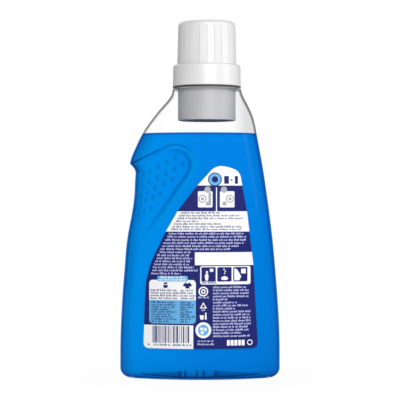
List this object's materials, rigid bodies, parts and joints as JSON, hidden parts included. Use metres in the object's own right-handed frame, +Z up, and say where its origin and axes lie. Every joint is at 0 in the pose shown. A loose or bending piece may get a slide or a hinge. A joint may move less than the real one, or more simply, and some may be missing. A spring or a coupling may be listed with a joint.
{
  "type": "water softener gel bottle",
  "caption": "Clear bottle of blue gel with a pinched side grip, an offset neck with a drain-back pouring insert, and a white screw-on measuring cap.",
  "frame": {"origin": "on the surface that the bottle stands on, under the middle of its box", "axes": "+Z up along the bottle, -Y out of the labelled front panel, +X towards the side away from the grip"},
  "size_m": [0.117, 0.0566, 0.26],
  "materials": {
    "clear_bottle": "clear blown PET, glossy",
    "blue_gel": "translucent blue gel",
    "grey_insert": "moulded polyethylene, satin",
    "dark_seal": "soft dark seal ring",
    "white_cap": "moulded polypropylene, satin",
    "label_white": "printed film, satin",
    "label_navy": "navy print on film",
    "label_sky": "sky blue print on film"
  },
  "bodies": {
    "bottle": {"bottle": "clear_bottle", "gel": "blue_gel", "pour_insert": "grey_insert", "label_film": "label_white", "label_navy": "label_navy", "label_sky": "label_sky"},
    "seal": {"cap_seal": "dark_seal"},
    "cap": {"cap": "white_cap"}
  },
  "joints": [
    {"name": "cap_lift", "type": "slide", "parent": "bottle", "child": "seal", "axis": [0, 0, 1], "range_m": [0, 0.0084]},
    {"name": "cap_turn", "type": "hinge", "parent": "seal", "child": "cap", "pos_m": [0.005, 0, 0.22], "axis": [0, 0, 1], "range_deg": [0, 720]}
  ],
  "couplings": [
    {"joint": "cap_lift", "follows": "cap_turn", "m_per_rad": 0.00066845}
  ]
}
